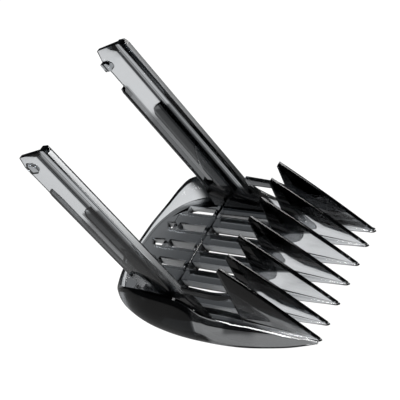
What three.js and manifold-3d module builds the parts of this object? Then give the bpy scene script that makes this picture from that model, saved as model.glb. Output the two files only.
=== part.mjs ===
// Adjustable clipper guide comb: seven tall teeth on a shallow basket, carried on two long slide arms.
// The real comb is one clear moulding, so every mesh below is one member of that moulding.
// Millimetres, +Z up, teeth point along +Y, arms rise along +Z, +X is the right-hand side.

import * as THREE from "three";
import { mergeVertices } from "three/addons/utils/BufferGeometryUtils.js";
import Module from "manifold-3d";

const wasm = await Module();
wasm.setup();

// ---- driving dimensions ----

const PITCH = 7.0;              // spacing of the five inner teeth
const OUTER_TOOTH_X = 19.4;     // the outer teeth stand closer than one pitch
const TOOTH_X = [-OUTER_TOOTH_X, -2 * PITCH, -PITCH, 0, PITCH, 2 * PITCH, OUTER_TOOTH_X];

const BLADE_THICK = 1.1;
const PEAK = { y: 32.0, z: 29.1 };
const TIP = { y: 53.9, z: 2.9 };
const BLADE_HEEL_Y = 28.9;      // where the steep rear edge of a blade meets its runner

const FLOOR_TOP = 5.8;
const BAR_WIDTH = 4.2;          // runner width in the floor; the open slot beside it is 2.8
const FLOOR_THICK = 3.2;
const SLOT_REAR_Y = -12.6;      // the slots run from here to the crossbar
const NOTCH_FRONT_Y = -14.4;    // the small wedge openings lie behind this line
const CROSSBAR_REAR_Y = -1.9;
const CROSSBAR_FRONT_Y = 0.1;
const CROSSBAR_RIDGE = 0.6;     // how far the crossbar stands above the floor

const WALL = 1.3;
const CHEEK_OUT = 21.5;         // outer face of the cheek plates and of the arm webs
const CHEEK_IN = 20.2;
const MIDDLE_Y = 14.99;         // middle of the comb's length, which becomes the origin

const FIT = 0.3;                // gap kept where one member is cut by its neighbour
const SEAM = 0.06;              // hairline between members that follow the same curve

const ARM_LEAN = THREE.MathUtils.degToRad(13.2);
const ARM_FOOT = { y: 7.1, z: 15.0 };
const ARM_REAR = -7.5;          // across the arm: rear edge, start of the rail, front edge
const ARM_RAIL = 2.2;
const ARM_FRONT = 7.9;
const ARM_TOP = 60.6;
const WEB_THICK = 1.3;
const RAIL_DEPTH = 2.2;
const RIB_WIDTH = 4.4;
const RIB_TOP = 37.0;
const FLANGE_WIDTH = 1.6;
const FLANGE_TOP = 46.0;
const FLANGE_DEPTH = 1.4;       // how far the flange, guide rib and catch stand inwards from the web

// ---- small helpers ----

function toManifold(geometry) {
  const g = geometry.clone();
  g.deleteAttribute("normal");
  g.deleteAttribute("uv");
  const merged = mergeVertices(g, 1e-4);
  const mesh = new wasm.Mesh({
    numProp: 3,
    vertProperties: Float32Array.from(merged.attributes.position.array),
    triVerts: Uint32Array.from(merged.index.array),
  });
  return new wasm.Manifold(mesh);
}

function toGeometry(manifold) {
  const mesh = manifold.getMesh();
  const g = new THREE.BufferGeometry();
  g.setAttribute("position", new THREE.BufferAttribute(Float32Array.from(mesh.vertProperties), 3));
  g.setIndex(new THREE.BufferAttribute(Uint32Array.from(mesh.triVerts), 1));
  const flat = g.toNonIndexed();
  flat.computeVertexNormals();
  return flat;
}

function box(x0, x1, y0, y1, z0, z1) {
  const g = new THREE.BoxGeometry(x1 - x0, y1 - y0, z1 - z0);
  g.translate((x0 + x1) / 2, (y0 + y1) / 2, (z0 + z1) / 2);
  return g;
}

// A closed plate drawn in the YZ plane and given thickness along X.
function plateYZ(points, x0, x1) {
  const shape = new THREE.Shape(points.map(([y, z]) => new THREE.Vector2(y, z)));
  const g = new THREE.ExtrudeGeometry(shape, { depth: x1 - x0, bevelEnabled: false });
  const toWorld = new THREE.Matrix4().makeBasis(
    new THREE.Vector3(0, 1, 0),
    new THREE.Vector3(0, 0, 1),
    new THREE.Vector3(1, 0, 0),
  );
  g.applyMatrix4(toWorld);
  g.translate(x0, 0, 0);
  return g;
}

// A closed plate drawn in the XY plane and given thickness along Z.
function plateXY(points, z0, z1) {
  const shape = new THREE.Shape(points.map(([x, y]) => new THREE.Vector2(x, y)));
  const g = new THREE.ExtrudeGeometry(shape, { depth: z1 - z0, bevelEnabled: false });
  g.translate(0, 0, z0);
  return g;
}

// A closed bar: a unit box with its length on u, its height on v and its thickness on w,
// each in 0..1, carried to its real place by the given function.
function mappedBox(nu, nv, nw, place) {
  const g = new THREE.BoxGeometry(1, 1, 1, nu, nv, nw);
  const p = g.attributes.position;
  for (let i = 0; i < p.count; i += 1) {
    const at = place(p.getX(i) + 0.5, p.getY(i) + 0.5, p.getZ(i) + 0.5);
    p.setXYZ(i, at.x, at.y, at.z);
  }
  return g;
}

function mirrored(geometry) {
  const g = geometry.index ? geometry.toNonIndexed() : geometry.clone();
  const p = g.attributes.position;
  for (let i = 0; i < p.count; i += 3) {
    const a = new THREE.Vector3().fromBufferAttribute(p, i);
    const b = new THREE.Vector3().fromBufferAttribute(p, i + 1);
    const c = new THREE.Vector3().fromBufferAttribute(p, i + 2);
    p.setXYZ(i, -a.x, a.y, a.z);
    p.setXYZ(i + 1, -c.x, c.y, c.z);
    p.setXYZ(i + 2, -b.x, b.y, b.z);
  }
  return g;
}

function smoothPath(points) {
  return new THREE.CatmullRomCurve3(
    points.map(([x, y, z]) => new THREE.Vector3(x, y, z)),
    false,
    "centripetal",
  );
}

// Height of the skid line under the comb: the lowest surface at a given y.
const skidCurve = smoothPath([
  [0, -25, 4.6],
  [0, -18, 2.9],
  [0, -9, 1.5],
  [0, 3, 0.8],
  [0, 15, 0.7],
  [0, 28, 1.1],
  [0, 42, 2.0],
  [0, 48, 2.35],
  [0, 56, 2.7],
]);
const skidSamples = skidCurve.getPoints(120);

function skidZ(y) {
  let i = 1;
  while (i < skidSamples.length - 1 && skidSamples[i].y < y) {
    i += 1;
  }
  const a = skidSamples[i - 1];
  const b = skidSamples[i];
  const k = THREE.MathUtils.clamp((y - a.y) / (b.y - a.y), 0, 1);
  return a.z + k * (b.z - a.z);
}

// Top of a runner: level in the floor, then falling away to the tip.
function runnerTopZ(y) {
  const k = THREE.MathUtils.clamp((y - 26) / (TIP.y - 26), 0, 1);
  return FLOOR_TOP - 1.7 * k - 0.9 * k * k;
}

// Half width of a runner: full in the floor, narrowing under the blade, slim at the tip.
function runnerHalf(y) {
  const narrow = THREE.MathUtils.smoothstep(y, 18, 40);
  const slim = THREE.MathUtils.smoothstep(y, 36, TIP.y);
  return BAR_WIDTH / 2 - 1.1 * narrow - 0.35 * slim;
}

// ---- the skirt: one curved shell round the back and both flanks ----

const skirtTop = smoothPath([
  [0, -23.9, 6.4],
  [9.4, -22.5, 7.2],
  [16.1, -18.8, 9.4],
  [20.4, -14.2, 12.8],
  [22.3, -9.2, 15.9],
  [23.0, -4.0, 17.0],
  [23.0, 4.0, 16.2],
  [23.0, 12.4, 14.8],
  [23.1, 16.6, 11.2],
  [22.9, 20.0, 8.8],
  [22.0, 26.0, 6.8],
  [21.2, 34.0, 5.6],
  [20.9, 44.0, 4.2],
  [20.2, 53.0, 3.4],
]);

const skirtFoot = smoothPath([
  [0, -23.2, 3.9],
  [9.4, -22.0, 3.7],
  [15.8, -19.0, 3.1],
  [19.8, -14.6, 2.4],
  [22.3, -9.0, 1.6],
  [24.0, -3.4, 0.9],
  [25.0, 2.8, 0.4],
  [25.5, 10.0, 0.05],
  [25.6, 17.0, 0.0],
  [25.5, 23.0, 0.1],
  [25.2, 29.5, 0.5],
  [24.4, 36.6, 1.1],
  [22.9, 45.4, 1.9],
  [20.6, 53.0, 2.5],
]);

const SIDE_START = 0.29;        // share of the path where the rear wall ends and a flank begins

// Point on the skirt's outer face; v runs from the foot (0) to the top edge (1).
function skirtOuter(t, v) {
  const low = skirtFoot.getPoint(t);
  const high = skirtTop.getPoint(t);
  const span = high.z - low.z;
  const inside = THREE.MathUtils.clamp(v, 0, 1);
  const bulge = 0.13 * span * Math.sin(Math.PI * Math.pow(inside, 0.8));
  return low.lerp(high, v).addScaledVector(skirtOutward(t), bulge);
}

function skirtOutward(t) {
  const ahead = skirtFoot.getPoint(Math.min(t + 0.01, 1));
  const behind = skirtFoot.getPoint(Math.max(t - 0.01, 0));
  const along = ahead.sub(behind);
  const out = new THREE.Vector3(along.y, -along.x, 0);
  return out.normalize();
}

// Local wall thickness: full at the back and flank, tapering towards the tooth tip.
function skirtThick(t) {
  const k = THREE.MathUtils.clamp((t - 0.8) / 0.2, 0, 1);
  return WALL - 0.8 * k;
}

function skirtSection(t0, t1, nu) {
  return mappedBox(nu, 8, 1, (u, v, w) => {
    const t = t0 + (t1 - t0) * u;
    const at = skirtOuter(t, v);
    return at.addScaledVector(skirtOutward(t), -skirtThick(t) * (1 - w));
  });
}

function rearWall() {
  const side = SIDE_START - 0.002;
  return mappedBox(36, 8, 1, (u, v, w) => {
    const s = (2 * u - 1) * side;
    const t = Math.abs(s);
    const at = skirtOuter(t, v);
    at.addScaledVector(skirtOutward(t), -skirtThick(t) * (1 - w));
    at.x *= Math.sign(s);
    return at;
  });
}

// Everything from just inside the skirt outwards; members inside the basket are cut back by it.
function skirtClearance() {
  return mappedBox(120, 21, 1, (u, v, w) => {
    const s = 2 * u - 1;
    const t = Math.abs(s);
    const at = skirtOuter(t, -1.5 + 2.625 * v);
    at.addScaledVector(skirtOutward(t), w > 0.5 ? 14 : -(skirtThick(t) + FIT));
    at.x *= Math.sign(s);
    return at;
  });
}

const outsideSkirt = toManifold(skirtClearance());

function trimmed(geometry) {
  return toGeometry(toManifold(geometry).subtract(outsideSkirt));
}

// ---- teeth ----

function bladeOutline(peak) {
  const back = new THREE.Vector2(peak.y, peak.z);
  const front = new THREE.Vector2(TIP.y - 0.6, TIP.z + 1.0);
  const edge = [];
  for (let i = 0; i <= 10; i += 1) {
    const k = i / 10;
    const at = back.clone().lerp(front, k);
    const bow = 0.5 * Math.sin(Math.PI * k);
    edge.push([at.x + 0.77 * bow, at.y + 0.64 * bow]);
  }
  const foot = [];
  for (let i = 0; i <= 8; i += 1) {
    const y = TIP.y - 0.6 - (TIP.y - 0.6 - BLADE_HEEL_Y) * (i / 8);
    foot.push([y, runnerTopZ(y) + SEAM]);
  }
  return [...edge, ...foot, [BLADE_HEEL_Y + 0.4, FLOOR_TOP + 5], [peak.y - 1.1, peak.z - 1.2]];
}

function blade(x, peak) {
  return plateYZ(bladeOutline(peak), x - BLADE_THICK / 2, x + BLADE_THICK / 2);
}

// One runner: flat on top, rounded underneath, from the crossbar to the tip.
function runner(x, y0) {
  return mappedBox(34, 1, 8, (u, v, w) => {
    const y = y0 + (TIP.y - y0) * u;
    const half = runnerHalf(y);
    const top = runnerTopZ(y);
    const low = skidZ(y);
    const side = 2 * w - 1;
    const roundOff = 1 - Math.sqrt(Math.max(0, 1 - Math.pow(Math.abs(side), 2.6)));
    const z = v > 0.5 ? top : low + 0.45 * (top - low) * roundOff;
    return new THREE.Vector3(x + half * side, y, z);
  });
}

// ---- floor ----

function rearFloor() {
  const blank = box(-25, 25, -25, CROSSBAR_REAR_Y, FLOOR_TOP - FLOOR_THICK, FLOOR_TOP);
  let body = toManifold(blank).subtract(outsideSkirt);
  const gap = PITCH - BAR_WIDTH;
  for (let i = 0; i < 6; i += 1) {
    const x = (i - 2.5) * PITCH;
    const slot = box(x - gap / 2, x + gap / 2, SLOT_REAR_Y, CROSSBAR_REAR_Y + 1, 0, 9);
    body = body.subtract(toManifold(slot));
    if (Math.abs(x) < 2 * PITCH) {
      const reach = -20.2 + 0.022 * x * x;
      const outline = [
        [x - gap / 2, NOTCH_FRONT_Y],
        [x - gap / 2 + 0.4, reach],
        [x + gap / 2, reach + 1.6],
        [x + gap / 2, NOTCH_FRONT_Y],
      ];
      body = body.subtract(toManifold(plateXY(outline, 0, 9)));
    }
  }
  return toGeometry(body);
}

// The crossbar behind the teeth, with a low sloped ridge along its top between the cheeks.
function middleCrossbar() {
  const bar = toManifold(box(-27, 27, CROSSBAR_REAR_Y, CROSSBAR_FRONT_Y, FLOOR_TOP - FLOOR_THICK, FLOOR_TOP));
  const ridgeHalf = CHEEK_IN - FIT;
  const slope = 0.5;
  const outline = [
    [CROSSBAR_REAR_Y, FLOOR_TOP - 0.5],
    [CROSSBAR_FRONT_Y, FLOOR_TOP - 0.5],
    [CROSSBAR_FRONT_Y, FLOOR_TOP],
    [CROSSBAR_FRONT_Y - slope, FLOOR_TOP + CROSSBAR_RIDGE],
    [CROSSBAR_REAR_Y + slope, FLOOR_TOP + CROSSBAR_RIDGE],
    [CROSSBAR_REAR_Y, FLOOR_TOP],
  ];
  const ridge = plateYZ(outline, -ridgeHalf, ridgeHalf);
  return toGeometry(bar.subtract(outsideSkirt).add(toManifold(ridge)));
}

// ---- sides of the basket ----

function cheek() {
  const outline = [
    [-3.4, FLOOR_TOP],
    [18.4, FLOOR_TOP],
    [17.1, 14.7],
    [-3.4, 17.3],
  ];
  return plateYZ(outline, CHEEK_IN, CHEEK_OUT);
}

// The bar over the side opening, from the arm's front edge to the outer tooth.
function sideRim() {
  const outline = [
    [16.4, 17.3],
    [22.5, 16.9],
    [29.8, 16.4],
    [30.0, 18.7],
    [22.5, 19.6],
    [15.6, 20.4],
  ];
  return plateYZ(outline, CHEEK_IN, CHEEK_OUT);
}

// ---- arms ----

// Place a point given across the arm (t) and along it (s) in the YZ plane.
function armPoint(t, s) {
  const y = ARM_FOOT.y + t * Math.cos(ARM_LEAN) - s * Math.sin(ARM_LEAN);
  const z = ARM_FOOT.z + t * Math.sin(ARM_LEAN) + s * Math.cos(ARM_LEAN);
  return [y, z];
}

// The arm's lower edge runs along the cheek's top edge, so it is skew to the arm.
function armFoot(t) {
  return 1.5 - 0.37 * t;
}

function armPlate(points, x0, x1) {
  return plateYZ(points.map(([t, s]) => armPoint(t, s)), x0, x1);
}

function armWeb() {
  const outline = [
    [ARM_REAR, armFoot(ARM_REAR)],
    [ARM_RAIL, armFoot(ARM_RAIL)],
    [ARM_RAIL, ARM_TOP - 4.6],
    [ARM_RAIL + 1.5, ARM_TOP],
    [ARM_REAR + 1.9, ARM_TOP - 0.9],
    [ARM_REAR + 0.4, ARM_TOP - 4.6],
    [ARM_REAR + 0.4, FLANGE_TOP],
    [ARM_REAR, FLANGE_TOP - 1.5],
  ];
  return armPlate(outline, CHEEK_OUT - WEB_THICK, CHEEK_OUT);
}

// The thick front strip that slides in the clipper's groove; its rear shoulder is sloped.
function armRail() {
  const outline = [
    [ARM_RAIL, armFoot(ARM_RAIL)],
    [ARM_FRONT, armFoot(ARM_FRONT)],
    [ARM_FRONT, ARM_TOP - 1.6],
    [ARM_FRONT - 0.9, ARM_TOP + 0.4],
    [ARM_RAIL + 3.7, ARM_TOP + 0.5],
    [ARM_RAIL + 1.5, ARM_TOP],
    [ARM_RAIL, ARM_TOP - 4.6],
  ];
  const solid = toManifold(armPlate(outline, CHEEK_OUT - RAIL_DEPTH, CHEEK_OUT));
  const inner = CHEEK_OUT - WEB_THICK;
  const low = armFoot(ARM_FRONT) - 2;
  const shoulder = new THREE.Shape([
    new THREE.Vector2(inner, ARM_RAIL - 1),
    new THREE.Vector2(inner, ARM_RAIL),
    new THREE.Vector2(inner - 2, ARM_RAIL + 2.6),
    new THREE.Vector2(inner - 4, ARM_RAIL + 2.6),
    new THREE.Vector2(inner - 4, ARM_RAIL - 1),
  ]);
  const cutter = new THREE.ExtrudeGeometry(shoulder, { depth: ARM_TOP + 6 - low, bevelEnabled: false });
  cutter.translate(0, 0, low);
  cutter.rotateX(ARM_LEAN);
  cutter.translate(0, ARM_FOOT.y, ARM_FOOT.z);
  return toGeometry(solid.subtract(toManifold(cutter)));
}

function armFlange() {
  const inner = CHEEK_OUT - WEB_THICK;
  const outline = [
    [ARM_REAR, armFoot(ARM_REAR)],
    [ARM_REAR + FLANGE_WIDTH, armFoot(ARM_REAR + FLANGE_WIDTH)],
    [ARM_REAR + FLANGE_WIDTH, FLANGE_TOP - 4],
    [ARM_REAR + 1.2, FLANGE_TOP],
    [ARM_REAR + 0.5, FLANGE_TOP],
    [ARM_REAR, FLANGE_TOP - 1.5],
  ];
  return armPlate(outline, inner - FLANGE_DEPTH, inner);
}

function armRib() {
  const inner = CHEEK_OUT - WEB_THICK;
  const rear = ARM_RAIL - RIB_WIDTH;
  const outline = [
    [rear, armFoot(rear)],
    [ARM_RAIL - SEAM, armFoot(ARM_RAIL)],
    [ARM_RAIL - SEAM, RIB_TOP + 1],
    [rear + 1.4, RIB_TOP],
    [rear, RIB_TOP - 2.2],
  ];
  return armPlate(outline, inner - FLANGE_DEPTH, inner);
}

// The D-shaped nub on the rear edge near the tip, which clicks into the clipper's length stops.
function armCatch() {
  const inner = CHEEK_OUT - WEB_THICK;
  const rear = ARM_REAR + 0.4;
  const outline = [
    [rear, ARM_TOP - 7.7],
    [rear + 2.6, ARM_TOP - 7.7],
    [rear + 3.6, ARM_TOP - 6.9],
    [rear + 3.6, ARM_TOP - 5.6],
    [rear + 2.8, ARM_TOP - 4.8],
    [rear, ARM_TOP - 4.8],
  ];
  return armPlate(outline, inner - FLANGE_DEPTH, inner);
}

// ---- assembly ----

const comb = new THREE.Group();
comb.name = "clipper_guide_comb";

const tones = {
  tooth: { color: 0x50555a, roughness: 0.12 },
  runner: { color: 0x3c4044, roughness: 0.15 },
  basket: { color: 0x303438, roughness: 0.15 },
  arm: { color: 0x6c7176, roughness: 0.12 },
};

function add(name, geometry, tone) {
  const material = new THREE.MeshStandardMaterial({
    color: tones[tone].color,
    roughness: tones[tone].roughness,
    metalness: 0,
  });
  material.name = `${name}_plastic`;
  const mesh = new THREE.Mesh(geometry, material);
  mesh.name = name;
  mesh.position.y = -MIDDLE_Y;
  comb.add(mesh);
}

TOOTH_X.forEach((x, i) => {
  const outer = i === 0 || i === TOOTH_X.length - 1;
  const peak = outer ? { y: PEAK.y + 0.4, z: PEAK.z + 1.0 } : PEAK;
  const cut = outer ? trimmed : (g) => g;
  add(`tooth_${i + 1}_blade`, cut(blade(x, peak)), "tooth");
  add(`tooth_${i + 1}_runner`, cut(runner(x, CROSSBAR_FRONT_Y)), "runner");
});

add("middle_crossbar", middleCrossbar(), "basket");
add("rear_floor", rearFloor(), "basket");
add("rear_wall", rearWall(), "basket");

const sides = [
  ["right", (g) => g],
  ["left", mirrored],
];
for (const [side, place] of sides) {
  add(`${side}_skirt`, place(skirtSection(SIDE_START, 1, 46)), "basket");
  add(`${side}_cheek`, place(cheek()), "basket");
  add(`${side}_side_rim`, place(sideRim()), "basket");
  add(`${side}_arm_web`, place(armWeb()), "arm");
  add(`${side}_arm_rail`, place(armRail()), "arm");
  add(`${side}_arm_flange`, place(armFlange()), "arm");
  add(`${side}_arm_guide_rib`, place(armRib()), "arm");
  add(`${side}_arm_catch`, place(armCatch()), "arm");
}

export default comb;
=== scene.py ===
"""Looks of the clipper guide comb: one smoke-tinted clear moulding, on a white studio floor.

The moulding is made as three pieces: the basket with its teeth, and the two side arms, which
blend into the basket at their roots because the real arms bend there.
Lengths are written in millimetres and scaled to metres when a mesh is made.
"""

import math

import bmesh
import bpy
from mathutils import Matrix, Vector


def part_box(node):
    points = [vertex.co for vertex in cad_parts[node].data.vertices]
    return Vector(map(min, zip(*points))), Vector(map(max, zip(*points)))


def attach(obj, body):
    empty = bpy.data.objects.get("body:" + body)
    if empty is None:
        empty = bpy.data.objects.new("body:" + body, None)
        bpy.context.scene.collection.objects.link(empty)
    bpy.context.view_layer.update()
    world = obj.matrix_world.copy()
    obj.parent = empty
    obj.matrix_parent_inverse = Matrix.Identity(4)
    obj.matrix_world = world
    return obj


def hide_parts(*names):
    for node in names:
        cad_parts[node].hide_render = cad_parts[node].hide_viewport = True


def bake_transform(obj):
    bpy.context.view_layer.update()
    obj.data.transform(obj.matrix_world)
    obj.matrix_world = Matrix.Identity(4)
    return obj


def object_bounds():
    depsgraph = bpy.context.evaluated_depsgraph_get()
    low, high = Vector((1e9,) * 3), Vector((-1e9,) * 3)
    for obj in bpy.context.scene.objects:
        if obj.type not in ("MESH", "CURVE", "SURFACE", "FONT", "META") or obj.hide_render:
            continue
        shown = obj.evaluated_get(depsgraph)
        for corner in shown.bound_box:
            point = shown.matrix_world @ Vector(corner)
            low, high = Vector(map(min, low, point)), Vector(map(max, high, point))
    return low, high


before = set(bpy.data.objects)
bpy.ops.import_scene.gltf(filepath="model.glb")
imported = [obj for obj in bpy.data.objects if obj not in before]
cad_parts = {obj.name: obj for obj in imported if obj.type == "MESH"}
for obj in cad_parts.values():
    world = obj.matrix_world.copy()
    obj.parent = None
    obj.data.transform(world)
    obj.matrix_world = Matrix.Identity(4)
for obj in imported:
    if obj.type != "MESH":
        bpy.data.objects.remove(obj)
CAD_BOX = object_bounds()

MM = 0.001
# The part's origin in the drawing: the shapes are drawn from a point 14.99 mm behind it.
ORIGIN = Vector((0, 14.99, 0))


# ---- driving dimensions, read from the frame where it holds them ----

def node_mm(name):
    """The low and high corners of a CAD node's box, in the drawing's millimetres."""
    low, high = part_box(name)
    return low / MM + ORIGIN, high / MM + ORIGIN


BLADE_LOW, BLADE_HIGH = node_mm("tooth_4_blade")
RUNNER_LOW, RUNNER_HIGH = node_mm("tooth_4_runner")
OUTER_LOW, OUTER_HIGH = node_mm("tooth_7_blade")
NEXT_LOW, NEXT_HIGH = node_mm("tooth_5_blade")
CHEEK_LOW, CHEEK_HIGH = node_mm("right_cheek")
CROSSBAR_LOW, CROSSBAR_HIGH = node_mm("middle_crossbar")

PITCH = (NEXT_LOW.x + NEXT_HIGH.x) / 2
OUTER_X = (OUTER_LOW.x + OUTER_HIGH.x) / 2
TOOTH_X = [-OUTER_X, -2 * PITCH, -PITCH, 0, PITCH, 2 * PITCH, OUTER_X]
PEAK_Z = BLADE_HIGH.z
OUTER_RISE = OUTER_HIGH.z - BLADE_HIGH.z
PEAK_Y = 32.0
HEEL_Y = BLADE_LOW.y
TIP_Y = RUNNER_HIGH.y
FLOOR_TOP = RUNNER_HIGH.z
FLOOR_LOW = 3.2
CROSSBAR_REAR = CROSSBAR_LOW.y
CROSSBAR_FRONT = CROSSBAR_HIGH.y
BAR_WIDTH = RUNNER_HIGH.x - RUNNER_LOW.x
SIDE_OUT = CHEEK_HIGH.x
SIDE_IN = CHEEK_LOW.x
SLOT_GAP = PITCH - BAR_WIDTH

# ---- further dimensions of the basket ----

WALL = 1.3
BLADE_HALF = 0.55
SLOT_REAR = -12.6
NOTCH_FRONT = -14.4
# The slots and notches are cut from below the floor to above it.
CUT_LOW = -2
CUT_HIGH = 9
RIM_REAR = 15.2
RIM_LENGTH = 15.4

# ---- the arm, with t ahead of the middle of its foot and s up along it ----

LEAN = math.radians(13.2)
ARM_FOOT = (7.1, 15.0)
ARM_REAR = -7.5
ARM_RAIL = 2.2
ARM_FRONT = 7.9
ARM_TOP = 60.6
FLANGE_TOP = 46.0
FLANGE_WIDTH = 1.6
RIB_TOP = 37.0
RIB_WIDTH = 4.4
RIB_DEPTH = 1.4
SHOULDER = 2.6
CHAMFER = 0.8
SOFT_EDGE = 0.14

# ---- painted shade: the share of the light that is left in each region painted dark ----

# Each level paints shade into the plastic's colour. It stands in for the dark that the clear moulding
# shows where it bends light away from the white floor.
FLOOR_PAINTED_SHADE = 0.12
SLOT_WALL_PAINTED_SHADE = 0.9
BLADE_TOP_PAINTED_SHADE = 0.03
OUTER_BLADE_PAINTED_SHADE = 0.22
LEFT_OUTER_PAINTED_SHADE = 0.05
REAR_FLANK_PAINTED_SHADE = 0.01
RIM_PAINTED_SHADE = 0.2
RIGHT_FRONT_PAINTED_SHADE = 0.25
RIB_PAINTED_SHADE = 0.1
WEB_PAINTED_SHADE = 0.3
FLANGE_PAINTED_SHADE = 0.3
FLANGE_LINE_PAINTED_SHADE = 0.1
CHEEK_PAINTED_SHADE = 0.06
EDGE_PAINTED_SHADE = 0.05
# Width of the painted dark line along a sharp edge, which stands in for the shade of light bent away
# there, and how far the walls of the slots scatter light.
EDGE_LINE = 0.18
SLOT_FROST = 0.4
# Painted dark lines along an arm: start and end across it, softness of the edges, light that is left.
ARM_LINES = [
    (ARM_RAIL - 0.1, ARM_RAIL + 0.5, 0.12, 0.01),
    (ARM_RAIL + 0.5, ARM_RAIL + 0.9, 1.6, 0.07),
    (ARM_RAIL + 2.9, ARM_RAIL + 3.1, 0.12, 0.1),
    (ARM_FRONT - 1.0, ARM_FRONT - 0.7, 0.12, 0.05),
]

# ---- plastic and studio: lengths in metres ----

# Colour of the painted shade, the plastic's clear colour where none is painted, and its tint in depth.
DARK_TONE = (0.002, 0.003, 0.004, 1)
CLEAR_TONE = (0.94, 0.95, 0.96, 1)
DEPTH_TONE = (0.0, 0.03, 0.06, 1)
DENSITY = 300
ROUGHNESS = 0.03
FLOOR_HALF = 1.5
FLOOR_CELLS = 24
LIT_MIDDLE = (-0.02, -0.045, CAD_BOX[0].z)
LIT_INNER = 0.224
LIT_OUTER = 0.364
FAR_GLOW = 0.02
REFLECTED_GLOW = 0.12
EYE_DISTANCE = 0.31747


# ---- mesh helpers ----

def mesh_object(name, verts, faces):
    """A mesh of the drawing's points, with shared corners merged and its faces turned out."""
    mesh = bpy.data.meshes.new(name)
    mesh.from_pydata([(Vector(v) - ORIGIN) * MM for v in verts], [], faces)
    mesh.validate()
    obj = bpy.data.objects.new(name, mesh)
    bpy.context.scene.collection.objects.link(obj)
    bm = bmesh.new()
    bm.from_mesh(mesh)
    bmesh.ops.remove_doubles(bm, verts=bm.verts, dist=1e-7)
    bmesh.ops.recalc_face_normals(bm, faces=bm.faces)
    bm.to_mesh(mesh)
    bm.free()
    return obj


def bevelled(obj, width, segments=2, angle=35):
    """Round every edge sharper than the angle."""
    bm = bmesh.new()
    bm.from_mesh(obj.data)
    limit = math.radians(angle)
    edges = [e for e in bm.edges if len(e.link_faces) == 2 and e.calc_face_angle(0) > limit]
    bmesh.ops.bevel(bm, geom=edges, offset=width * MM, segments=segments, profile=0.5,
                    affect="EDGES", clamp_overlap=True)
    bm.to_mesh(obj.data)
    bm.free()
    return obj


def prism(name, outline, place, low, high, bevel=0.0):
    """A closed plate: the outline is a list of (a, b), and place(a, b, c) its point at depth c."""
    n = len(outline)
    verts = [place(a, b, low) for a, b in outline] + [place(a, b, high) for a, b in outline]
    faces = [list(range(n))[::-1], list(range(n, 2 * n))]
    faces += [[i, (i + 1) % n, n + (i + 1) % n, n + i] for i in range(n)]
    obj = mesh_object(name, verts, faces)
    return bevelled(obj, bevel) if bevel else obj


def mapped_box(name, nu, nv, nw, place):
    """A unit box with nu, nv and nw cells, each corner carried to place(u, v, w)."""
    index = {}
    verts = []
    faces = []

    def corner(i, j, k):
        """The index of a grid corner, which is placed the first time it is asked for."""
        if (i, j, k) not in index:
            index[(i, j, k)] = len(verts)
            verts.append(place(i / nu, j / nv, k / nw))
        return index[(i, j, k)]

    def cell(i, j, k, first, second):
        """A face that starts at corner i, j, k and spans one cell in each of two directions."""
        start = Vector((i, j, k))
        steps = (start, start + first, start + first + second, start + second)
        faces.append([corner(*(int(c) for c in step)) for step in steps])

    step_u, step_v, step_w = Vector((1, 0, 0)), Vector((0, 1, 0)), Vector((0, 0, 1))
    for j in range(nv):
        for k in range(nw):
            for i in (0, nu):
                cell(i, j, k, step_v, step_w)
    for i in range(nu):
        for k in range(nw):
            for j in (0, nv):
                cell(i, j, k, step_u, step_w)
        for j in range(nv):
            for k in (0, nw):
                cell(i, j, k, step_u, step_v)
    return mesh_object(name, verts, faces)


def boolean(base, tool, operation):
    """Join the tool to the base, or cut it out; the tool is used up."""
    modifier = base.modifiers.new(operation, "BOOLEAN")
    modifier.operation = operation
    modifier.solver = "MANIFOLD"
    modifier.object = tool
    depsgraph = bpy.context.evaluated_depsgraph_get()
    result = bpy.data.meshes.new_from_object(base.evaluated_get(depsgraph), depsgraph=depsgraph)
    base.modifiers.clear()
    base.data = result
    bpy.data.objects.remove(tool)
    return base


def union(name, objects):
    """All the objects joined into the first one, under a new name."""
    base = objects[0]
    for other in objects[1:]:
        boolean(base, other, "UNION")
    base.name = name
    base.data.name = name
    return base


def finish_surface(obj, angle=28):
    """Clean up after the booleans, and shade smooth except across edges sharper than the angle."""
    bm = bmesh.new()
    bm.from_mesh(obj.data)
    bmesh.ops.remove_doubles(bm, verts=bm.verts, dist=2e-6)
    bmesh.ops.dissolve_degenerate(bm, edges=bm.edges, dist=2e-6)
    bmesh.ops.recalc_face_normals(bm, faces=bm.faces)
    bm.to_mesh(obj.data)
    bm.free()
    for polygon in obj.data.polygons:
        polygon.use_smooth = True
    obj.data.set_sharp_from_angle(angle=math.radians(angle))
    return obj


def mirror_x(obj, name):
    """A mirrored copy for the other side."""
    copy = bpy.data.objects.new(name, obj.data.copy())
    bpy.context.scene.collection.objects.link(copy)
    copy.data.transform(Matrix.Scale(-1, 4, (1, 0, 0)))
    copy.data.flip_normals()
    return copy


# ---- smooth curves ----

def spline(points):
    """Centripetal Catmull-Rom curve through the points; returns a function of t in 0..1."""
    ctrl = [Vector(p) for p in points]
    ctrl = [2 * ctrl[0] - ctrl[1]] + ctrl + [2 * ctrl[-1] - ctrl[-2]]

    def at(t):
        spans = len(ctrl) - 3
        place = min(max(t, 0.0), 1.0) * spans
        i = min(int(place), spans - 1)
        w = place - i
        p0, p1, p2, p3 = ctrl[i:i + 4]
        d0, d1, d2 = (math.sqrt((b - a).length) for a, b in ((p0, p1), (p1, p2), (p2, p3)))
        t1 = ((p1 - p0) / d0 - (p2 - p0) / (d0 + d1) + (p2 - p1) / d1) * d1
        t2 = ((p2 - p1) / d1 - (p3 - p1) / (d1 + d2) + (p3 - p2) / d2) * d1
        return (p1 + t1 * w + (-3 * p1 + 3 * p2 - 2 * t1 - t2) * w * w
                + (2 * p1 - 2 * p2 + t1 + t2) * w * w * w)

    return at


def smoothstep(x, low, high):
    """0 below low, 1 above high and a soft step between."""
    k = min(max((x - low) / (high - low), 0), 1)
    return k * k * (3 - 2 * k)


def along(points, y):
    """Height of a polyline of (y, z) at y."""
    for (ya, za), (yb, zb) in zip(points, points[1:]):
        if y <= yb:
            k = min(max((y - ya) / (yb - ya), 0.0), 1.0)
            return za + k * (zb - za)
    return points[-1][1]


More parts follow.
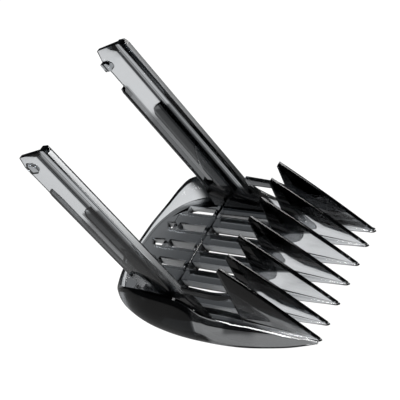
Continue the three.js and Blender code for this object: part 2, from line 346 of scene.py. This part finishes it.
# The profile of the underside, from back to front.
skid_curve = spline([(0, -25, 4.6), (0, -18, 2.9), (0, -9, 1.5), (0, 3, 0.8), (0, 15, 0.7),
                     (0, 28, 1.1), (0, 42, 2.0), (0, 48, 2.35), (0, 56, 2.7)])
SKID = [(p.y, p.z) for p in (skid_curve(i / 80) for i in range(81))]

# The top and foot of the skirt's right half, from the middle of the back to the tooth's tip.
skirt_top = spline([
    (0, -23.9, 6.4), (9.4, -22.5, 7.2), (16.1, -18.8, 9.4), (20.4, -14.2, 12.8),
    (22.3, -9.2, 15.9), (23.0, -4.0, 17.0), (23.0, 4.0, 16.2), (23.0, 12.4, 14.8),
    (23.1, 16.6, 11.2), (22.9, 20.0, 8.8), (22.0, 26.0, 6.8), (21.2, 34.0, 5.6),
    (20.9, 44.0, 4.2), (20.2, 53.0, 3.4),
])
skirt_foot = spline([
    (0, -23.2, 3.9), (9.4, -22.0, 3.7), (15.8, -19.0, 3.1), (19.8, -14.6, 2.4),
    (22.3, -9.0, 1.6), (24.0, -3.4, 0.9), (25.0, 2.8, 0.4), (25.5, 10.0, 0.05),
    (25.6, 17.0, 0.0), (25.5, 23.0, 0.1), (25.2, 29.5, 0.5), (24.4, 36.6, 1.1),
    (22.9, 45.4, 1.9), (20.6, 53.0, 2.5),
])


def skirt_outward(t):
    """The level direction that points out of the basket at t."""
    ahead = skirt_foot(min(t + 0.01, 1)) - skirt_foot(max(t - 0.01, 0))
    return Vector((ahead.y, -ahead.x, 0)).normalized()


def skirt_thick(t):
    """The wall is thinner ahead of the cheek, and thinner still at the tip."""
    return WALL - 0.65 * smoothstep(t, 0.54, 0.66) - 0.15 * smoothstep(t, 0.8, 1.0)


def skirt_outer(t, v):
    """A point of the outer face, from its foot (v = 0) to its top (v = 1)."""
    low = skirt_foot(t)
    high = skirt_top(t)
    bulge = 0.13 * (high.z - low.z) * math.sin(math.pi * min(max(v, 0), 1) ** 0.8)
    return low.lerp(high, v) + skirt_outward(t) * bulge


# ---- the basket ----

def skirt():
    """The whole shell, from one outer tooth round the back to the other, with a rounded top lip."""
    def place(u, v, w):
        s = 2 * u - 1
        t = abs(s)
        lip = 0.3 * max(0, (v - 0.9) / 0.1) ** 2
        depth = skirt_thick(t)
        at = skirt_outer(t, v) - skirt_outward(t) * (lip + (depth - 2 * lip) * (1 - w))
        return Vector((math.copysign(at.x, s) if abs(s) > 1e-9 else 0, at.y, at.z))
    return mapped_box("skirt", 150, 20, 2, place)


def runner_top(y):
    """The height of a runner's upper face, which falls away towards the tip."""
    k = min(max((y - 26) / (TIP_Y - 26), 0), 1)
    return FLOOR_TOP - 1.7 * k - 0.9 * k * k


def runner_half(y):
    """Half of a runner's width, which narrows towards the tip."""
    return BAR_WIDTH / 2 - 1.1 * smoothstep(y, 18, 40) - 0.35 * smoothstep(y, 36, TIP_Y)


def runner(x):
    """A bar with a rounded belly and soft upper edges, tapering to a rounded tip."""
    def place(u, v, w):
        y = CROSSBAR_FRONT - 1.0 + (TIP_Y - CROSSBAR_FRONT + 1.0) * (1 - (1 - u) ** 1.15)
        nose = min(1.0, math.sqrt(max(0.0, (TIP_Y - y) / 1.1)) * 0.8 + 0.2)
        half = runner_half(y) * nose
        top = runner_top(y)
        low = along(SKID, y)
        middle = (top + low) / 2
        side = 2 * w - 1
        round_off = 1 - math.sqrt(max(0.0, 1 - abs(side) ** 2.6))
        z = top - 0.12 * abs(side) ** 8 if v > 0.5 else low + (top - low) * 0.45 * round_off
        z = middle + (z - middle) * nose
        return Vector((x + half * side, y, z))
    return mapped_box("runner", 60, 1, 14, place)


def floor_bar(x):
    """A bar of the rear floor, as deep as the runner it carries on from."""
    rear = -19.5 + 0.016 * x * x

    def place(u, v, w):
        y = rear + (CROSSBAR_FRONT - rear) * u
        low = along(SKID, y) + 0.1
        side = 2 * w - 1
        round_off = 1 - math.sqrt(max(0.0, 1 - abs(side) ** 2.6))
        z = FLOOR_TOP - 0.3 if v > 0.5 else low + 0.3 * round_off
        half = BAR_WIDTH / 2 - 0.05 if v > 0.5 else BAR_WIDTH / 2 + 0.4
        return Vector((x + half * side, y, z))
    return mapped_box("floor_bar", 24, 1, 10, place)


def blade(x, rise, shift):
    """A tall triangular tooth with a slightly bowed front edge and a steep rear edge."""
    peak = Vector((PEAK_Y + shift, PEAK_Z + rise))
    front = Vector((TIP_Y - 0.6, runner_top(TIP_Y) + 0.25))
    cuts = 12
    outline = []
    for i in range(cuts + 1):
        k = i / cuts
        at = peak.lerp(front, k) + Vector((0.77, 0.64)) * 0.5 * math.sin(math.pi * k)
        outline.append((at.x, at.y))
    for i in range(cuts + 1):
        y = TIP_Y - 0.6 - (TIP_Y - 0.6 - HEEL_Y) * i / cuts
        outline.append((y, runner_top(y) - 0.6))
    outline += [(HEEL_Y + 0.4, FLOOR_TOP + 5), (peak.x - 1.1, peak.y - 1.2)]

    def place(y, z, side):
        return Vector((x + side, y, z))
    return prism("blade", outline, place, -BLADE_HALF, BLADE_HALF, bevel=0.16)


def plan(x, y, z):
    """For an outline drawn from above."""
    return Vector((x, y, z))


def side_view(y, z, x):
    """For an outline drawn from the side."""
    return Vector((x, y, z))


def floor_slab():
    """The slotted floor behind the teeth, its outline following the middle of the skirt's wall."""
    right = []
    for i in range(46):
        t = 0.5 * i / 45
        low = skirt_foot(t)
        high = skirt_top(t)
        v = min(max((4.4 - low.z) / (high.z - low.z), 0.05), 1)
        at = skirt_outer(t, v) - skirt_outward(t) * skirt_thick(t) * 0.55
        if at.y < CROSSBAR_FRONT:
            right.append((at.x, at.y))
    edge = right[-1][0]
    left = [(-x, y) for x, y in right[1:]]
    outline = [(edge, CROSSBAR_FRONT)] + right[::-1] + left + [(-edge, CROSSBAR_FRONT)]
    slab = prism("floor", outline[::-1], plan, FLOOR_LOW, FLOOR_TOP)
    for i in range(6):
        x = (i - 2.5) * PITCH
        low = x - SLOT_GAP / 2
        high = x + SLOT_GAP / 2
        slot = [(low, SLOT_REAR), (high, SLOT_REAR), (high, CROSSBAR_REAR), (low, CROSSBAR_REAR)]
        boolean(slab, prism("slot", slot, plan, CUT_LOW, CUT_HIGH, bevel=0.25), "DIFFERENCE")
        if abs(x) < 2 * PITCH:
            reach = -20.2 + 0.022 * x * x
            notch = [(low, NOTCH_FRONT), (low + 0.4, reach), (high, reach + 1.6), (high, NOTCH_FRONT)]
            boolean(slab, prism("notch", notch, plan, CUT_LOW, CUT_HIGH, bevel=0.2), "DIFFERENCE")
    return slab


def ridge():
    """The thin raised line along the top of the crossbar."""
    outline = [
        (CROSSBAR_REAR, FLOOR_TOP - 0.5), (CROSSBAR_FRONT, FLOOR_TOP - 0.5),
        (CROSSBAR_FRONT, FLOOR_TOP + 0.2), (CROSSBAR_FRONT - 0.5, FLOOR_TOP + 0.6),
        (CROSSBAR_REAR + 0.5, FLOOR_TOP + 0.6), (CROSSBAR_REAR, FLOOR_TOP + 0.2),
    ]
    return prism("ridge", outline, side_view, -SIDE_OUT, SIDE_OUT, bevel=0.15)


def side_rim(sign):
    """The bar over the side opening; its front end curves in to the outer tooth's rear edge."""
    def place(u, v, w):
        y = RIM_REAR + RIM_LENGTH * u
        low = 17.3 - 0.9 * u
        high = 20.4 - 1.7 * u
        inward = 1.35 * max(0.0, (u - 0.55) / 0.45) ** 2
        edge = 0.18 * (abs(2 * v - 1) ** 6)
        x = SIDE_IN + edge + (SIDE_OUT - SIDE_IN - 2 * edge) * w - inward
        return Vector((sign * x, y, low + (high - low) * v))
    return mapped_box("rim", 24, 10, 1, place)


def basket():
    """The basket with its teeth, as one closed skin."""
    parts = [skirt(), floor_slab(), ridge()]
    last = len(TOOTH_X) - 1
    for i, x in enumerate(TOOTH_X):
        outer = i in (0, last)
        parts.append(runner(x))
        parts.append(blade(x, OUTER_RISE if outer else 0, 0.4 if outer else 0))
        if not outer:
            parts.append(floor_bar(x))
    parts += [side_rim(1), side_rim(-1)]
    return finish_surface(union("comb_basket", parts))


# ---- an arm with the cheek below it ----

def arm_place(t, s, x):
    """A point of an arm, t ahead of the middle of its foot and s up along its lean."""
    y = ARM_FOOT[0] + t * math.cos(LEAN) - s * math.sin(LEAN)
    z = ARM_FOOT[1] + t * math.sin(LEAN) + s * math.cos(LEAN)
    return Vector((x, y, z))


def arm_foot(t):
    """How far along the arm its foot lies at t: it falls a little towards the front."""
    return 1.5 - 0.37 * t


def side_arm():
    """The right arm with its web, rail, flange, rib and catch, on top of its cheek."""
    web = [
        (ARM_REAR, arm_foot(ARM_REAR) - 1.5), (ARM_RAIL + 1, arm_foot(ARM_RAIL) - 1.5),
        (ARM_RAIL + 1, ARM_TOP - 4.6), (ARM_RAIL + 2.2, ARM_TOP - 0.1),
        (ARM_REAR + 1.9, ARM_TOP - 0.9), (ARM_REAR + 0.4, ARM_TOP - 4.6),
        (ARM_REAR + 0.4, FLANGE_TOP), (ARM_REAR, FLANGE_TOP - 1.5),
    ]
    flange_front = ARM_REAR + FLANGE_WIDTH
    flange = [
        (ARM_REAR, arm_foot(ARM_REAR) - 1.0), (flange_front, arm_foot(ARM_REAR) - 1.6),
        (flange_front, FLANGE_TOP - 4), (ARM_REAR + 1.2, FLANGE_TOP), (ARM_REAR + 0.5, FLANGE_TOP),
        (ARM_REAR, FLANGE_TOP - 1.5),
    ]
    rib_rear = ARM_RAIL - RIB_WIDTH
    rib = [
        (rib_rear, arm_foot(rib_rear) - 1.0), (ARM_RAIL + 0.8, arm_foot(ARM_RAIL) - 1.0),
        (ARM_RAIL + 0.8, RIB_TOP + 1), (rib_rear + 1.4, RIB_TOP), (rib_rear, RIB_TOP - 2.2),
    ]
    nub_rear = ARM_REAR + 0.4
    nub = [
        (nub_rear, ARM_TOP - 7.7), (nub_rear + 2.6, ARM_TOP - 7.7),
        (nub_rear + 3.6, ARM_TOP - 6.9), (nub_rear + 3.6, ARM_TOP - 5.6),
        (nub_rear + 2.8, ARM_TOP - 4.8), (nub_rear + 0.1, ARM_TOP - 4.8),
    ]
    parts = [prism("web", web, arm_place, SIDE_IN, SIDE_OUT, bevel=SOFT_EDGE), rail()]
    raised = SIDE_IN - RIB_DEPTH
    for name, outline in (("flange", flange), ("rib", rib), ("nub", nub)):
        parts.append(prism(name, outline, arm_place, raised, SIDE_IN + 0.4, bevel=SOFT_EDGE))
    parts.append(cheek())
    return finish_surface(union("right_side_arm", parts))


def rail_place(t, s, outer):
    """The rail's inner face slopes up from the web over its shoulder and back at its front edge."""
    if outer:
        return arm_place(t, s, SIDE_OUT)
    shoulder = min(max((t - ARM_RAIL) / SHOULDER, 0), 1)
    chamfer = 0.9 * min(max((t - ARM_FRONT + CHAMFER) / CHAMFER, 0), 1)
    return arm_place(t, s, SIDE_IN + 0.3 - 1.2 * shoulder + chamfer)


def rail():
    """The rail as a lengthwise strip: a few columns across, with its slanted ends."""
    columns = [ARM_RAIL, ARM_RAIL + SHOULDER, ARM_FRONT - CHAMFER, ARM_FRONT]
    lows = [arm_foot(t) - 1.5 for t in columns]
    highs = [ARM_TOP - 4.0, ARM_TOP + 0.2, ARM_TOP + 0.1, ARM_TOP - 1.2]
    n = 2 * len(columns)
    verts = []
    for outer in (False, True):
        for t, low, high in zip(columns, lows, highs):
            verts += [rail_place(t, low, outer), rail_place(t, high, outer)]
    faces = [[0, 1, n + 1, n], [n - 2, 2 * n - 2, 2 * n - 1, n - 1]]
    for a in range(0, n - 2, 2):
        faces.append([a, a + 2, a + 3, a + 1])
        faces.append([n + a, n + a + 1, n + a + 3, n + a + 2])
        faces.append([a, n + a, n + a + 2, a + 2])
        faces.append([a + 1, a + 3, n + a + 3, n + a + 1])
    return bevelled(mesh_object("rail", verts, faces), 0.12)


def cheek():
    """The upright plate that carries the arm, standing on the basket's floor."""
    outline = [
        (-3.4, FLOOR_TOP + 0.05), (18.4, FLOOR_TOP + 0.05), (17.1, 14.7), (15.6, 16.6),
        (-1.6, 18.4), (-3.4, 17.2),
    ]
    return prism("cheek", outline, side_view, SIDE_IN + 0.02, SIDE_OUT - 0.02, bevel=SOFT_EDGE)


# ---- materials ----

class Graph:
    """Short calls for the arithmetic nodes of one material."""

    def __init__(self, material):
        self.nodes = material.node_tree.nodes
        self.links = material.node_tree.links

    def feed(self, socket, value):
        """Link a socket to the input, or set the input to a number."""
        if isinstance(value, bpy.types.NodeSocket):
            self.links.new(value, socket)
        else:
            socket.default_value = value

    def math(self, operation, a, b=0.0):
        node = self.nodes.new("ShaderNodeMath")
        node.operation = operation
        self.feed(node.inputs[0], a)
        self.feed(node.inputs[1], b)
        return node.outputs["Value"]

    def step(self, value, low, high, start=0.0, end=1.0):
        """A soft step from start to end as the value passes from low to high."""
        node = self.nodes.new("ShaderNodeMapRange")
        node.interpolation_type = "SMOOTHSTEP"
        self.feed(node.inputs["Value"], value)
        numbers = {"From Min": low, "From Max": high, "To Min": start, "To Max": end}
        for name, number in numbers.items():
            node.inputs[name].default_value = number
        return node.outputs["Result"]

    def below(self, value, low, high):
        """1 below low and 0 above high."""
        return self.step(value, low, high, 1.0, 0.0)

    def product(self, *factors):
        total = factors[0]
        for factor in factors[1:]:
            total = self.math("MULTIPLY", total, factor)
        return total

    def shade(self, light, mask, level):
        """The light value, brought down to its product with the level where the mask is 1."""
        return self.product(light, self.flip(self.product(mask, 1.0 - level)))

    def flip(self, mask):
        """1 where the mask is 0, and 0 where it is 1."""
        return self.math("SUBTRACT", 1.0, mask)

    def position(self):
        """Sockets x, y, z in the millimetres that the shapes are drawn in."""
        where = self.nodes.new("ShaderNodeTexCoord")
        scale = self.nodes.new("ShaderNodeVectorMath")
        scale.operation = "MULTIPLY_ADD"
        self.links.new(where.outputs["Object"], scale.inputs[0])
        scale.inputs[1].default_value = (1 / MM, 1 / MM, 1 / MM)
        scale.inputs[2].default_value = ORIGIN
        split = self.nodes.new("ShaderNodeSeparateXYZ")
        self.links.new(scale.outputs["Vector"], split.inputs[0])
        return split.outputs["X"], split.outputs["Y"], split.outputs["Z"]

    def sideways(self):
        """1 on a face that looks left or right, 0 on one that looks up, down, ahead or back."""
        surface = self.nodes.new("ShaderNodeNewGeometry")
        split = self.nodes.new("ShaderNodeSeparateXYZ")
        self.links.new(surface.outputs["Normal"], split.inputs[0])
        return self.step(self.math("ABSOLUTE", split.outputs["X"]), 0.6, 0.8)

    def noise(self, scale, detail):
        """Cloudy values between 0 and 1."""
        where = self.nodes.new("ShaderNodeTexCoord")
        node = self.nodes.new("ShaderNodeTexNoise")
        node.inputs["Scale"].default_value = scale
        node.inputs["Detail"].default_value = detail
        self.links.new(where.outputs["Object"], node.inputs["Vector"])
        return node.outputs["Fac"]

    def edges(self, width):
        """1 on a sharp edge, falling to 0 a width away from it."""
        bevel = self.nodes.new("ShaderNodeBevel")
        bevel.samples = 16
        bevel.inputs["Radius"].default_value = width * MM
        surface = self.nodes.new("ShaderNodeNewGeometry")
        dot = self.nodes.new("ShaderNodeVectorMath")
        dot.operation = "DOT_PRODUCT"
        self.links.new(bevel.outputs["Normal"], dot.inputs[0])
        self.links.new(surface.outputs["Normal"], dot.inputs[1])
        return self.below(self.math("ABSOLUTE", dot.outputs["Value"]), 0.9, 0.99)


def floor_zone(graph, y, z):
    """1 in the floor and the bars, as far as the tooth tips."""
    return graph.product(graph.below(z, 4.7, 5.5), graph.below(y, 31.0, 35.0))


def basket_painted_shade(graph):
    """Painted shade for the basket: how much light each region keeps, dark where the clear moulding
    bends light away into the dark room.
    """
    x, y, z = graph.position()
    side = graph.math("ABSOLUTE", x)
    bars = floor_zone(graph, y, z)
    sideways = graph.sideways()
    # Painted shade on the floor and its bars, lighter on their side faces.
    light = graph.shade(1.0, graph.product(bars, graph.flip(sideways)), FLOOR_PAINTED_SHADE)
    light = graph.shade(light, graph.product(bars, sideways), SLOT_WALL_PAINTED_SHADE)

    # Painted shade on the upper part of the teeth, above a slanting line.
    in_teeth = graph.step(y, 23.0, 25.0)
    slanted = graph.math("SUBTRACT", z, graph.product(graph.math("SUBTRACT", y, PEAK_Y), 0.18))
    blade_tops = graph.product(graph.step(slanted, 13.1, 13.9), in_teeth, graph.below(side, 17.0, 18.0))
    light = graph.shade(light, blade_tops, BLADE_TOP_PAINTED_SHADE)

    # Painted shade on the outer teeth, broken by noise into patches of painted sheen, and darker still
    # on the left one.
    outer = graph.product(graph.step(side, 18.3, 18.7), in_teeth, graph.step(z, 4.0, 5.0))
    painted_sheen_patches = graph.step(graph.noise(110, 3), 0.4, 0.6, 0.8, 1.0)
    light = graph.shade(light, graph.product(outer, painted_sheen_patches), OUTER_BLADE_PAINTED_SHADE)
    left_outer = graph.product(outer, graph.below(x, -1.0, 1.0), graph.below(y, 44.0, 48.0))
    light = graph.shade(light, left_outer, LEFT_OUTER_PAINTED_SHADE)

    # Painted shade on the rear of the flanks.
    rear_flank = graph.product(graph.step(side, 20.2, 20.6), graph.step(y, -12.0, -8.0),
                               graph.below(y, 14.5, 15.5))
    light = graph.shade(light, rear_flank, REAR_FLANK_PAINTED_SHADE)
    # Painted shade on the side rims.
    rim = graph.product(graph.step(side, 18.8, 19.2), graph.step(z, 14.2, 14.8),
                        graph.step(y, 14.0, 16.0))
    light = graph.shade(light, rim, RIM_PAINTED_SHADE)
    # Painted shade on the right front of the skirt.
    right_front = graph.product(graph.step(x, 20.2, 20.6), graph.step(y, 14.5, 15.5))
    return graph.shade(light, right_front, RIGHT_FRONT_PAINTED_SHADE)


def slot_walls(graph):
    """How far the side faces of the floor's bars scatter light."""
    x, y, z = graph.position()
    inner = graph.step(graph.math("ABSOLUTE", x), 19.0, 20.0, SLOT_FROST, 0.0)
    return graph.product(floor_zone(graph, y, z), graph.sideways(), inner)


def arm_position(graph):
    """Sockets x, z and the t and s with which arm_place would draw the point."""
    x, y, z = graph.position()
    ahead = graph.math("SUBTRACT", y, ARM_FOOT[0])
    above = graph.math("SUBTRACT", z, ARM_FOOT[1])
    cos, sin = math.cos(LEAN), math.sin(LEAN)
    t = graph.math("ADD", graph.product(ahead, cos), graph.product(above, sin))
    s = graph.math("SUBTRACT", graph.product(above, cos), graph.product(ahead, sin))
    return x, z, t, s


def arm_painted_shade(graph):
    """The same painted shade for an arm: dark rib, flange, cheek and rail edges, and a clear rail and
    upper web.
    """
    _, _, t, s = arm_position(graph)

    def band(start, end, soft=0.12):
        """1 from start to end across the arm."""
        return graph.product(graph.step(t, start - soft, start), graph.below(t, end, end + soft))

    light = 1.0
    # Painted dark lines across the arm.
    for start, end, soft, level in ARM_LINES:
        light = graph.shade(light, band(start, end, soft), level)

    # Painted shade on the rib.
    rib = graph.product(graph.below(s, RIB_TOP - 1.0, RIB_TOP),
                        graph.step(t, ARM_RAIL - 4.5, ARM_RAIL - 4.3),
                        graph.below(t, ARM_RAIL + 2.2, ARM_RAIL + 3.4))
    light = graph.shade(light, rib, RIB_PAINTED_SHADE)
    # Painted shade on the web between the flange and the rib.
    between = band(ARM_REAR + FLANGE_WIDTH, ARM_RAIL - RIB_WIDTH)
    web = graph.product(graph.below(s, RIB_TOP - 6.0, RIB_TOP - 1.0), between)
    light = graph.shade(light, web, WEB_PAINTED_SHADE)

    # Painted shade on the flange, with a painted dark line beside it.
    beside_flange = graph.below(s, FLANGE_TOP - 1.0, FLANGE_TOP)
    flange_line = graph.product(band(ARM_REAR + 0.5, ARM_REAR + 0.7), beside_flange)
    light = graph.shade(light, flange_line, FLANGE_LINE_PAINTED_SHADE)
    flange = graph.product(beside_flange, graph.below(t, ARM_REAR + 1.5, ARM_REAR + 1.7))
    light = graph.shade(light, flange, FLANGE_PAINTED_SHADE)
    # Painted shade at the arm's foot, over the cheek.
    return graph.shade(light, graph.below(s, 0.0, 2.0), CHEEK_PAINTED_SHADE)


def rail_front(graph):
    """How far the narrow front face of a rail scatters light: less at its foot and on the left."""
    x, z, t, _ = arm_position(graph)
    front = graph.step(t, ARM_FRONT - 0.12, ARM_FRONT - 0.04)
    side = graph.step(x, -1.0, 1.0, 0.35, 1.0)
    return graph.product(front, side, graph.step(z, 22.0, 50.0, 0.2, 1.0))


def smoke_plastic_painted_shade(name, painted_shade_rule, frost):
    """Clear polished plastic: tinted in its depth, with painted shade by region and painted dark lines
    along its edges, and with flow marks and wear.
    """
    material = bpy.data.materials.new(name)
    material.use_nodes = True
    graph = Graph(material)
    nodes = graph.nodes
    shader = nodes["Principled BSDF"]
    graph.links.new(graph.flip(frost(graph)), shader.inputs["Transmission Weight"])
    shader.inputs["IOR"].default_value = 1.5

    # Painted shade: the region rule, then painted dark lines along sharp edges.
    light = graph.shade(painted_shade_rule(graph), graph.edges(EDGE_LINE), EDGE_PAINTED_SHADE)
    tone = nodes.new("ShaderNodeMix")
    tone.data_type = "RGBA"
    graph.links.new(light, tone.inputs["Factor"])
    tone.inputs["A"].default_value = DARK_TONE
    tone.inputs["B"].default_value = CLEAR_TONE
    graph.links.new(tone.outputs["Result"], shader.inputs["Base Color"])

    worn = graph.step(graph.noise(160, 6), 0.35, 0.75, ROUGHNESS * 0.6, ROUGHNESS * 1.8)
    graph.links.new(worn, shader.inputs["Roughness"])

    bump = nodes.new("ShaderNodeBump")
    bump.inputs["Strength"].default_value = 0.08
    bump.inputs["Distance"].default_value = 0.0004
    graph.links.new(graph.noise(55, 2), bump.inputs["Height"])
    graph.links.new(bump.outputs["Normal"], shader.inputs["Normal"])

    volume = nodes.new("ShaderNodeVolumeAbsorption")
    volume.inputs["Color"].default_value = DEPTH_TONE
    volume.inputs["Density"].default_value = DENSITY
    graph.links.new(volume.outputs["Volume"], nodes["Material Output"].inputs["Volume"])
    return material


def assign(obj, material):
    obj.data.materials.clear()
    obj.data.materials.append(material)


# ---- studio ----

def floor():
    """A square white floor, just below the comb."""
    low = CAD_BOX[0].z / MM - 0.5
    row = FLOOR_CELLS + 1
    lines = [FLOOR_HALF / MM * (2 * i / FLOOR_CELLS - 1) for i in range(row)]
    verts = [(x, y, low) for x in lines for y in lines]
    faces = []
    for i in range(FLOOR_CELLS):
        for j in range(FLOOR_CELLS):
            a = i * row + j
            faces.append([a, a + 1, a + row + 1, a + row])
    obj = mesh_object("floor", verts, faces)
    assign(obj, floor_white())


def floor_white():
    """It glows to the eye; around the comb it also glows through plastic and dimly in reflections."""
    material = bpy.data.materials.new("floor_white")
    material.use_nodes = True
    nodes = material.node_tree.nodes
    links = material.node_tree.links
    shader = nodes["Principled BSDF"]
    shader.inputs["Base Color"].default_value = (0.05, 0.05, 0.05, 1)
    shader.inputs["Roughness"].default_value = 0.9
    shader.inputs["Emission Color"].default_value = (1, 1, 1, 1)
    where = nodes.new("ShaderNodeNewGeometry")
    distance = nodes.new("ShaderNodeVectorMath")
    distance.operation = "DISTANCE"
    distance.inputs[1].default_value = LIT_MIDDLE
    links.new(where.outputs["Position"], distance.inputs[0])
    pool = nodes.new("ShaderNodeMapRange")
    pool.interpolation_type = "SMOOTHSTEP"
    pool.inputs["From Min"].default_value = LIT_INNER
    pool.inputs["From Max"].default_value = LIT_OUTER
    pool.inputs["To Min"].default_value = 1.0
    pool.inputs["To Max"].default_value = FAR_GLOW
    links.new(distance.outputs["Value"], pool.inputs["Value"])
    path = nodes.new("ShaderNodeLightPath")
    seen_through = nodes.new("ShaderNodeMapRange")
    seen_through.inputs["To Min"].default_value = REFLECTED_GLOW
    links.new(path.outputs["Is Transmission Ray"], seen_through.inputs["Value"])
    lit = nodes.new("ShaderNodeMath")
    lit.operation = "MULTIPLY"
    links.new(pool.outputs["Result"], lit.inputs[0])
    links.new(seen_through.outputs["Result"], lit.inputs[1])
    glow = nodes.new("ShaderNodeMath")
    glow.operation = "MAXIMUM"
    links.new(lit.outputs["Value"], glow.inputs[0])
    links.new(path.outputs["Is Camera Ray"], glow.inputs[1])
    links.new(glow.outputs["Value"], shader.inputs["Emission Strength"])
    return material


def studio_world():
    """White to the eye; to every bounced ray it is a dark room, so that only the lit floor glows."""
    world = bpy.data.worlds.new("studio")
    bpy.context.scene.world = world
    world.use_nodes = True
    nodes = world.node_tree.nodes
    links = world.node_tree.links
    background = nodes["Background"]
    path = nodes.new("ShaderNodeLightPath")
    mix = nodes.new("ShaderNodeMix")
    mix.data_type = "RGBA"
    links.new(path.outputs["Is Camera Ray"], mix.inputs["Factor"])
    mix.inputs["A"].default_value = (0.03, 0.032, 0.035, 1)
    mix.inputs["B"].default_value = (1, 1, 1, 1)
    links.new(mix.outputs["Result"], background.inputs["Color"])


def softbox(name, place, target, size, power):
    """A rectangular lamp at a place, turned towards a target."""
    light = bpy.data.lights.new(name, "AREA")
    light.shape = "RECTANGLE"
    light.size, light.size_y = size
    light.energy = power
    obj = bpy.data.objects.new(name, light)
    bpy.context.scene.collection.objects.link(obj)
    obj.location = place
    obj.rotation_mode = "QUATERNION"
    obj.rotation_quaternion = (Vector(target) - Vector(place)).to_track_quat("-Z", "Y")


def camera():
    """The eye stands in front of the teeth, to the right and above, with the frame turned a little."""
    azimuth = math.radians(141.70)
    elevation = math.radians(38.95)
    roll = math.radians(-32.41)
    level = math.cos(elevation)
    back = Vector((math.sin(azimuth) * level, -math.cos(azimuth) * level, math.sin(elevation)))
    target = (Vector((-0.92, 15.94, 32.82)) - ORIGIN) * MM
    data = bpy.data.cameras.new("camera")
    data.lens = 100.6
    data.sensor_width = 36
    data.clip_start = 0.01
    data.clip_end = 20
    obj = bpy.data.objects.new("camera", data)
    bpy.context.scene.collection.objects.link(obj)
    upright = Vector((0, 0, 1)).cross(back).normalized()
    above = back.cross(upright)
    right = upright * math.cos(roll) + above * math.sin(roll)
    up = back.cross(right)
    turn = Matrix((right, up, back)).transposed().to_4x4()
    obj.matrix_world = Matrix.Translation(target + back * EYE_DISTANCE) @ turn
    bpy.context.scene.camera = obj


# ---- build ----

basket_smoke_painted_shade = smoke_plastic_painted_shade("basket_smoke_painted_shade", basket_painted_shade, slot_walls)
arm_smoke_painted_shade = smoke_plastic_painted_shade("arm_smoke_painted_shade", arm_painted_shade, rail_front)

body = basket()
assign(body, basket_smoke_painted_shade)
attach(body, "basket")
basket_nodes = [f"tooth_{i}_{part}" for i in range(1, 8) for part in ("blade", "runner")]
basket_nodes += ["middle_crossbar", "rear_floor", "rear_wall"]
basket_nodes += [f"{side}_{part}" for side in ("right", "left") for part in ("skirt", "side_rim")]
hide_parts(*basket_nodes)

ARM_PARTS = ("cheek", "arm_web", "arm_rail", "arm_flange", "arm_guide_rib", "arm_catch")
right_arm = side_arm()
left_arm = mirror_x(right_arm, "left_side_arm")
for side, arm, sign in (("right", right_arm, 1), ("left", left_arm, -1)):
    assign(arm, arm_smoke_painted_shade)
    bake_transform(arm)
    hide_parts(*[f"{side}_{part}" for part in ARM_PARTS])

floor()
studio_world()
softbox("key", (0.25, -0.05, 0.55), (0, 0, 0.02), (0.3, 0.2), 5)
softbox("fill", (-0.4, 0.3, 0.35), (0, 0, 0.02), (0.4, 0.25), 1.8)
camera()

bpy.context.scene.view_settings.view_transform = "Standard"
bpy.context.scene.cycles.max_bounces = 24
bpy.context.scene.cycles.transmission_bounces = 24
bpy.context.scene.cycles.glossy_bounces = 12
